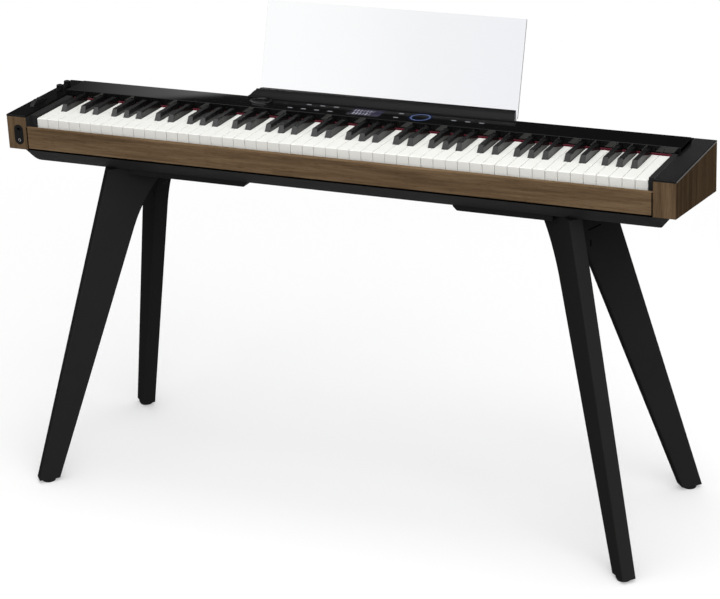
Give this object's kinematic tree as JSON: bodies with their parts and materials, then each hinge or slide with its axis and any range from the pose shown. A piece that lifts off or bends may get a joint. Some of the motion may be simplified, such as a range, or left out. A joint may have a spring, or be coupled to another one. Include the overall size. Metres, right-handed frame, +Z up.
{
  "type": "digital piano on stand",
  "caption": "Slim digital piano with hammer-action keyboard, wood cheeks, gloss panel, clear music rest and a four-legged black stand.",
  "frame": {"origin": "on the floor, under the middle of the stand", "axes": "+X along the keyboard from bass to treble, +Y away from the player, +Z up"},
  "size_m": [1.34, 0.4432, 0.9185],
  "materials": {
    "walnut": "satin open grain",
    "gloss_black": "high gloss",
    "satin_black": "fine moulded satin",
    "red_felt": "pressed felt",
    "display_glass": "dark display window",
    "ring_light": "lit light guide",
    "jack_black": "moulded",
    "frame_steel": "galvanised sheet",
    "rod_steel": "ground",
    "stop_felt": "pressed felt",
    "circuit_board": "solder mask",
    "speaker_black": "black steel",
    "clear_acrylic": "clear polished sheet",
    "dial_black": "satin gloss",
    "wheel_rubber": "soft touch",
    "white_key": "fine ivory-look grain",
    "black_key": "fine ebony-look grain",
    "hammer_steel": "weighted",
    "leg_black": "satin black lacquer",
    "plate_black": "powder coat",
    "foot_rubber": "matte"
  },
  "bodies": {
    "piano": {"bottom_case": "satin_black", "left_cheek": "walnut", "right_cheek": "walnut", "left_cheek_cap": "gloss_black", "right_cheek_cap": "gloss_black", "key_blocks": "satin_black", "key_slip": "walnut", "control_panel": "gloss_black", "name_felt": "red_felt", "music_rest_rail": "satin_black", "display_window": "display_glass", "touch_ring": "ring_light", "jack_plate": "satin_black", "headphone_jacks": "jack_black", "rear_jack_panel": "satin_black", "rear_sockets": "jack_black", "key_frame": "frame_steel", "pivot_rods": "rod_steel", "stop_felts": "stop_felt", "contact_board": "circuit_board", "main_board": "circuit_board", "speakers": "speaker_black", "rotary_encoders": "jack_black", "wheel_axle": "rod_steel", "front_left_leg": "leg_black", "front_right_leg": "leg_black", "rear_left_leg": "leg_black", "rear_right_leg": "leg_black", "stand_plates": "plate_black", "stand_bolts": "rod_steel", "foot_glides": "foot_rubber"},
    "music_rest": {"music_rest": "clear_acrylic"},
    "volume_dial": {"volume_dial": "dial_black"},
    "pitch_wheel": {"pitch_wheel": "wheel_rubber"},
    "front_knob": {"front_knob": "dial_black"},
    "rear_knob": {"rear_knob": "dial_black"},
    "c_keys": {"c_keys": "white_key"},
    "c_sharp_keys": {"c_sharp_keys": "black_key"},
    "d_keys": {"d_keys": "white_key"},
    "d_sharp_keys": {"d_sharp_keys": "black_key"},
    "e_keys": {"e_keys": "white_key"},
    "f_keys": {"f_keys": "white_key"},
    "f_sharp_keys": {"f_sharp_keys": "black_key"},
    "g_keys": {"g_keys": "white_key"},
    "g_sharp_keys": {"g_sharp_keys": "black_key"},
    "a_keys": {"a_keys": "white_key"},
    "a_sharp_keys": {"a_sharp_keys": "black_key"},
    "b_keys": {"b_keys": "white_key"},
    "c_hammers": {"c_hammers": "hammer_steel"},
    "c_sharp_hammers": {"c_sharp_hammers": "hammer_steel"},
    "d_hammers": {"d_hammers": "hammer_steel"},
    "d_sharp_hammers": {"d_sharp_hammers": "hammer_steel"},
    "e_hammers": {"e_hammers": "hammer_steel"},
    "f_hammers": {"f_hammers": "hammer_steel"},
    "f_sharp_hammers": {"f_sharp_hammers": "hammer_steel"},
    "g_hammers": {"g_hammers": "hammer_steel"},
    "g_sharp_hammers": {"g_sharp_hammers": "hammer_steel"},
    "a_hammers": {"a_hammers": "hammer_steel"},
    "a_sharp_hammers": {"a_sharp_hammers": "hammer_steel"},
    "b_hammers": {"b_hammers": "hammer_steel"}
  },
  "joints": [
    {"name": "c_key_press", "type": "hinge", "parent": "piano", "child": "c_keys", "pos_m": [0, 0.088, 0.704], "axis": [1, 0, 0], "range_deg": [0, 3], "stiffness_Nm_per_rad": 2, "springref_deg": -12.03},
    {"name": "c_hammer_swing", "type": "hinge", "parent": "piano", "child": "c_hammers", "pos_m": [0, 0.026, 0.679], "axis": [1, 0, 0], "range_deg": [0, 10.81]},
    {"name": "c_sharp_key_press", "type": "hinge", "parent": "piano", "child": "c_sharp_keys", "pos_m": [0, 0.088, 0.704], "axis": [1, 0, 0], "range_deg": [0, 3], "stiffness_Nm_per_rad": 2, "springref_deg": -12.03},
    {"name": "c_sharp_hammer_swing", "type": "hinge", "parent": "piano", "child": "c_sharp_hammers", "pos_m": [0, 0.026, 0.679], "axis": [1, 0, 0], "range_deg": [0, 10.81]},
    {"name": "d_key_press", "type": "hinge", "parent": "piano", "child": "d_keys", "pos_m": [0, 0.088, 0.704], "axis": [1, 0, 0], "range_deg": [0, 3], "stiffness_Nm_per_rad": 2, "springref_deg": -12.03},
    {"name": "d_hammer_swing", "type": "hinge", "parent": "piano", "child": "d_hammers", "pos_m": [0, 0.026, 0.679], "axis": [1, 0, 0], "range_deg": [0, 10.81]},
    {"name": "d_sharp_key_press", "type": "hinge", "parent": "piano", "child": "d_sharp_keys", "pos_m": [0, 0.088, 0.704], "axis": [1, 0, 0], "range_deg": [0, 3], "stiffness_Nm_per_rad": 2, "springref_deg": -12.03},
    {"name": "d_sharp_hammer_swing", "type": "hinge", "parent": "piano", "child": "d_sharp_hammers", "pos_m": [0, 0.026, 0.679], "axis": [1, 0, 0], "range_deg": [0, 10.81]},
    {"name": "e_key_press", "type": "hinge", "parent": "piano", "child": "e_keys", "pos_m": [0, 0.088, 0.704], "axis": [1, 0, 0], "range_deg": [0, 3], "stiffness_Nm_per_rad": 2, "springref_deg": -12.03},
    {"name": "e_hammer_swing", "type": "hinge", "parent": "piano", "child": "e_hammers", "pos_m": [0, 0.026, 0.679], "axis": [1, 0, 0], "range_deg": [0, 10.81]},
    {"name": "f_key_press", "type": "hinge", "parent": "piano", "child": "f_keys", "pos_m": [0, 0.088, 0.704], "axis": [1, 0, 0], "range_deg": [0, 3], "stiffness_Nm_per_rad": 2, "springref_deg": -12.03},
    {"name": "f_hammer_swing", "type": "hinge", "parent": "piano", "child": "f_hammers", "pos_m": [0, 0.026, 0.679], "axis": [1, 0, 0], "range_deg": [0, 10.81]},
    {"name": "f_sharp_key_press", "type": "hinge", "parent": "piano", "child": "f_sharp_keys", "pos_m": [0, 0.088, 0.704], "axis": [1, 0, 0], "range_deg": [0, 3], "stiffness_Nm_per_rad": 2, "springref_deg": -12.03},
    {"name": "f_sharp_hammer_swing", "type": "hinge", "parent": "piano", "child": "f_sharp_hammers", "pos_m": [0, 0.026, 0.679], "axis": [1, 0, 0], "range_deg": [0, 10.81]},
    {"name": "g_key_press", "type": "hinge", "parent": "piano", "child": "g_keys", "pos_m": [0, 0.088, 0.704], "axis": [1, 0, 0], "range_deg": [0, 3], "stiffness_Nm_per_rad": 2, "springref_deg": -12.03},
    {"name": "g_hammer_swing", "type": "hinge", "parent": "piano", "child": "g_hammers", "pos_m": [0, 0.026, 0.679], "axis": [1, 0, 0], "range_deg": [0, 10.81]},
    {"name": "g_sharp_key_press", "type": "hinge", "parent": "piano", "child": "g_sharp_keys", "pos_m": [0, 0.088, 0.704], "axis": [1, 0, 0], "range_deg": [0, 3], "stiffness_Nm_per_rad": 2, "springref_deg": -12.03},
    {"name": "g_sharp_hammer_swing", "type": "hinge", "parent": "piano", "child": "g_sharp_hammers", "pos_m": [0, 0.026, 0.679], "axis": [1, 0, 0], "range_deg": [0, 10.81]},
    {"name": "a_key_press", "type": "hinge", "parent": "piano", "child": "a_keys", "pos_m": [0, 0.088, 0.704], "axis": [1, 0, 0], "range_deg": [0, 3], "stiffness_Nm_per_rad": 2, "springref_deg": -12.03},
    {"name": "a_hammer_swing", "type": "hinge", "parent": "piano", "child": "a_hammers", "pos_m": [0, 0.026, 0.679], "axis": [1, 0, 0], "range_deg": [0, 10.81]},
    {"name": "a_sharp_key_press", "type": "hinge", "parent": "piano", "child": "a_sharp_keys", "pos_m": [0, 0.088, 0.704], "axis": [1, 0, 0], "range_deg": [0, 3], "stiffness_Nm_per_rad": 2, "springref_deg": -12.03},
    {"name": "a_sharp_hammer_swing", "type": "hinge", "parent": "piano", "child": "a_sharp_hammers", "pos_m": [0, 0.026, 0.679], "axis": [1, 0, 0], "range_deg": [0, 10.81]},
    {"name": "b_key_press", "type": "hinge", "parent": "piano", "child": "b_keys", "pos_m": [0, 0.088, 0.704], "axis": [1, 0, 0], "range_deg": [0, 3], "stiffness_Nm_per_rad": 2, "springref_deg": -12.03},
    {"name": "b_hammer_swing", "type": "hinge", "parent": "piano", "child": "b_hammers", "pos_m": [0, 0.026, 0.679], "axis": [1, 0, 0], "range_deg": [0, 10.81]},
    {"name": "volume_turn", "type": "hinge", "parent": "piano", "child": "volume_dial", "pos_m": [-0.216, 0.07, 0.742], "axis": [0, 0, 1], "range_deg": [-150, 150]},
    {"name": "pitch_bend", "type": "hinge", "parent": "piano", "child": "pitch_wheel", "pos_m": [-0.65, -0.038, 0.713], "axis": [1, 0, 0], "range_deg": [-30, 30], "stiffness_Nm_per_rad": 0.05},
    {"name": "front_knob_turn", "type": "hinge", "parent": "piano", "child": "front_knob", "pos_m": [-0.65, 0.045, 0.735], "axis": [0, 0, 1], "range_deg": [-140, 140]},
    {"name": "rear_knob_turn", "type": "hinge", "parent": "piano", "child": "rear_knob", "pos_m": [-0.65, 0.073, 0.735], "axis": [0, 0, 1], "range_deg": [-140, 140]},
    {"name": "music_rest_lift", "type": "slide", "parent": "piano", "child": "music_rest", "axis": [0, 0.309, 0.9511], "range_m": [0, 0.03]}
  ],
  "couplings": [
    {"joint": "c_hammer_swing", "follows": "c_key_press", "ratio": 3.6},
    {"joint": "c_sharp_hammer_swing", "follows": "c_sharp_key_press", "ratio": 3.6},
    {"joint": "d_hammer_swing", "follows": "d_key_press", "ratio": 3.6},
    {"joint": "d_sharp_hammer_swing", "follows": "d_sharp_key_press", "ratio": 3.6},
    {"joint": "e_hammer_swing", "follows": "e_key_press", "ratio": 3.6},
    {"joint": "f_hammer_swing", "follows": "f_key_press", "ratio": 3.6},
    {"joint": "f_sharp_hammer_swing", "follows": "f_sharp_key_press", "ratio": 3.6},
    {"joint": "g_hammer_swing", "follows": "g_key_press", "ratio": 3.6},
    {"joint": "g_sharp_hammer_swing", "follows": "g_sharp_key_press", "ratio": 3.6},
    {"joint": "a_hammer_swing", "follows": "a_key_press", "ratio": 3.6},
    {"joint": "a_sharp_hammer_swing", "follows": "a_sharp_key_press", "ratio": 3.6},
    {"joint": "b_hammer_swing", "follows": "b_key_press", "ratio": 3.6}
  ]
}
